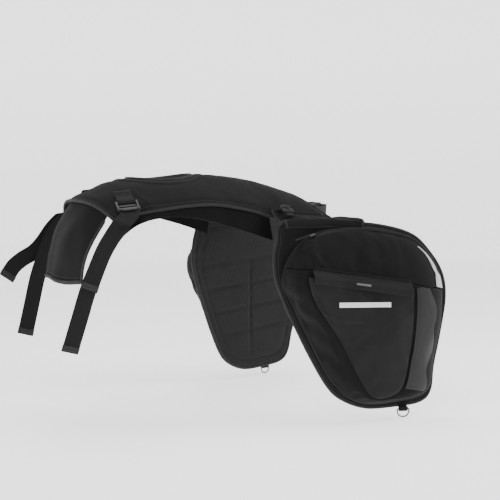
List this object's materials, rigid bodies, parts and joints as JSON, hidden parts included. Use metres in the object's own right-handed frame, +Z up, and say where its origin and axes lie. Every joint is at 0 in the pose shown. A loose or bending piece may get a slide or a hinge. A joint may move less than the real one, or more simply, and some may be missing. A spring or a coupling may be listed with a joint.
{
  "type": "motorcycle tank bag",
  "caption": "Padded saddle draped over a fuel tank, with a zipped teardrop bag on each side, rear webbing straps with ladder locks, a filler-cap opening and a front clip belt.",
  "frame": {"origin": "centre plane, under the saddle's crown where it rests on the tank", "axes": "+X forward on the bike, +Y the rider's left, +Z up"},
  "size_m": [0.8613, 0.7184, 0.5219],
  "materials": {
    "black_cordura": "matt woven nylon",
    "rubberised_liner": "matt rubberised fabric",
    "coated_fabric": "semi-gloss coated fabric",
    "reflective_tape": "pale grey reflective tape",
    "black_webbing": "woven webbing",
    "black_acetal": "moulded, satin",
    "blackened_metal": "blackened",
    "zip_coil": "coated coil",
    "soft_rubber_trim": "satin",
    "grey_tab": "grey woven label, blank",
    "grey_board": "board"
  },
  "bodies": {
    "saddle": {"saddle_panel": "black_cordura", "antislip_liner": "rubberised_liner", "filler_opening_ring": "soft_rubber_trim", "rear_flap": "rubberised_liner", "right_rear_loop": "black_webbing", "left_rear_loop": "black_webbing", "right_front_webbing": "black_webbing", "left_front_webbing": "black_webbing", "front_clip_socket": "black_acetal", "right_yoke": "black_cordura", "right_yoke_ladder_lock": "black_acetal", "right_yoke_webbing": "black_webbing", "left_yoke": "black_cordura", "left_yoke_ladder_lock": "black_acetal", "left_yoke_webbing": "black_webbing"},
    "right_bag_body": {"right_bag_back_panel": "black_cordura", "right_bag_back_board": "grey_board", "right_bag_shell": "black_cordura", "right_bag_boxing": "black_cordura", "right_zip_chain_body_side": "zip_coil", "right_front_pocket": "black_cordura", "right_gloss_gusset": "coated_fabric", "right_pocket_zip_chain": "zip_coil", "right_reflective_bar": "reflective_tape", "right_bottom_tab": "black_webbing"},
    "right_lid_body": {"right_lid_shell": "black_cordura", "right_zip_chain_lid_side": "zip_coil", "right_lid_reflector": "reflective_tape"},
    "right_rain_flap_body": {"right_rain_flap": "black_cordura", "right_rain_flap_tab": "grey_tab"},
    "right_zip_slider_body": {"right_zip_slider": "blackened_metal"},
    "right_zip_pull_body": {"right_zip_pull": "soft_rubber_trim"},
    "right_pocket_slider_body": {"right_pocket_zip_slider": "blackened_metal"},
    "right_bottom_ring_body": {"right_bottom_ring": "blackened_metal"},
    "right_rear_strap_body": {"right_rear_ladder_lock": "black_acetal", "right_rear_strap": "black_webbing"},
    "left_bag_body": {"left_bag_back_panel": "black_cordura", "left_bag_back_board": "grey_board", "left_bag_shell": "black_cordura", "left_bag_boxing": "black_cordura", "left_zip_chain_body_side": "zip_coil", "left_front_pocket": "black_cordura", "left_gloss_gusset": "coated_fabric", "left_pocket_zip_chain": "zip_coil", "left_reflective_bar": "reflective_tape", "left_bottom_tab": "black_webbing"},
    "left_lid_body": {"left_lid_shell": "black_cordura", "left_zip_chain_lid_side": "zip_coil", "left_lid_reflector": "reflective_tape"},
    "left_rain_flap_body": {"left_rain_flap": "black_cordura", "left_rain_flap_tab": "grey_tab"},
    "left_zip_slider_body": {"left_zip_slider": "blackened_metal"},
    "left_zip_pull_body": {"left_zip_pull": "soft_rubber_trim"},
    "left_pocket_slider_body": {"left_pocket_zip_slider": "blackened_metal"},
    "left_bottom_ring_body": {"left_bottom_ring": "blackened_metal"},
    "left_rear_strap_body": {"left_rear_ladder_lock": "black_acetal", "left_rear_strap": "black_webbing"},
    "clip_plug_body": {"front_clip_plug": "black_acetal"}
  },
  "joints": [
    {"name": "right_bag_swing", "type": "hinge", "parent": "saddle", "child": "right_bag_body", "pos_m": [0.21542, -0.24109, -0.08191], "axis": [-0.9703, 0.2419, 0], "range_deg": [0, 50]},
    {"name": "right_lid_open", "type": "hinge", "parent": "right_bag_body", "child": "right_lid_body", "pos_m": [0.19454, -0.32484, -0.20003], "axis": [0.9556, -0.2544, -0.1487], "range_deg": [0, 90]},
    {"name": "right_rain_flap_lift", "type": "hinge", "parent": "right_bag_body", "child": "right_rain_flap_body", "pos_m": [0.19242, -0.33336, -0.20318], "axis": [-0.9556, 0.2544, 0.1487], "range_deg": [0, 60]},
    {"name": "right_zip_slider_travel", "type": "hinge", "parent": "right_bag_body", "child": "right_zip_slider_body", "pos_m": [0.20371, -0.29434, -0.3992], "axis": [0.2406, 0.965, -0.1045], "range_deg": [0, 32.6]},
    {"name": "right_zip_pull_swing", "type": "hinge", "parent": "right_zip_slider_body", "child": "right_zip_pull_body", "pos_m": [0.1072, -0.23913, -0.1117], "axis": [0.2406, 0.965, -0.1045], "range_deg": [0, 120]},
    {"name": "right_pocket_slider_travel", "type": "slide", "parent": "right_bag_body", "child": "right_pocket_slider_body", "axis": [0.9556, -0.2544, -0.1487], "range_m": [0, 0.126]},
    {"name": "right_bottom_ring_swing", "type": "hinge", "parent": "right_bag_body", "child": "right_bottom_ring_body", "pos_m": [0.29896, -0.31113, -0.49035], "axis": [0.9703, -0.2419, 0], "range_deg": [-45, 45]},
    {"name": "right_rear_strap_swing", "type": "hinge", "parent": "saddle", "child": "right_rear_strap_body", "pos_m": [-0.2661, -0.12689, -0.04149], "axis": [-0.9826, 0.1564, -0.1003], "range_deg": [0, 40]},
    {"name": "left_bag_swing", "type": "hinge", "parent": "saddle", "child": "left_bag_body", "pos_m": [0.21542, 0.24109, -0.08191], "axis": [0.9703, 0.2419, 0], "range_deg": [0, 50]},
    {"name": "left_lid_open", "type": "hinge", "parent": "left_bag_body", "child": "left_lid_body", "pos_m": [0.19454, 0.32484, -0.20003], "axis": [-0.9556, -0.2544, 0.1487], "range_deg": [0, 90]},
    {"name": "left_rain_flap_lift", "type": "hinge", "parent": "left_bag_body", "child": "left_rain_flap_body", "pos_m": [0.19242, 0.33336, -0.20318], "axis": [0.9556, 0.2544, -0.1487], "range_deg": [0, 60]},
    {"name": "left_zip_slider_travel", "type": "hinge", "parent": "left_bag_body", "child": "left_zip_slider_body", "pos_m": [0.20371, 0.29434, -0.3992], "axis": [-0.2406, 0.965, 0.1045], "range_deg": [0, 32.6]},
    {"name": "left_zip_pull_swing", "type": "hinge", "parent": "left_zip_slider_body", "child": "left_zip_pull_body", "pos_m": [0.1072, 0.23913, -0.1117], "axis": [-0.2406, 0.965, 0.1045], "range_deg": [0, 120]},
    {"name": "left_pocket_slider_travel", "type": "slide", "parent": "left_bag_body", "child": "left_pocket_slider_body", "axis": [0.9556, 0.2544, -0.1487], "range_m": [0, 0.126]},
    {"name": "left_bottom_ring_swing", "type": "hinge", "parent": "left_bag_body", "child": "left_bottom_ring_body", "pos_m": [0.29896, 0.31113, -0.49035], "axis": [-0.9703, -0.2419, 0], "range_deg": [-45, 45]},
    {"name": "left_rear_strap_swing", "type": "hinge", "parent": "saddle", "child": "left_rear_strap_body", "pos_m": [-0.2661, 0.12689, -0.04149], "axis": [0.9826, 0.1564, 0.1003], "range_deg": [0, 40]},
    {"name": "front_clip_release", "type": "slide", "parent": "saddle", "child": "clip_plug_body", "axis": [0, 1, 0], "range_m": [0, 0.0155]}
  ]
}
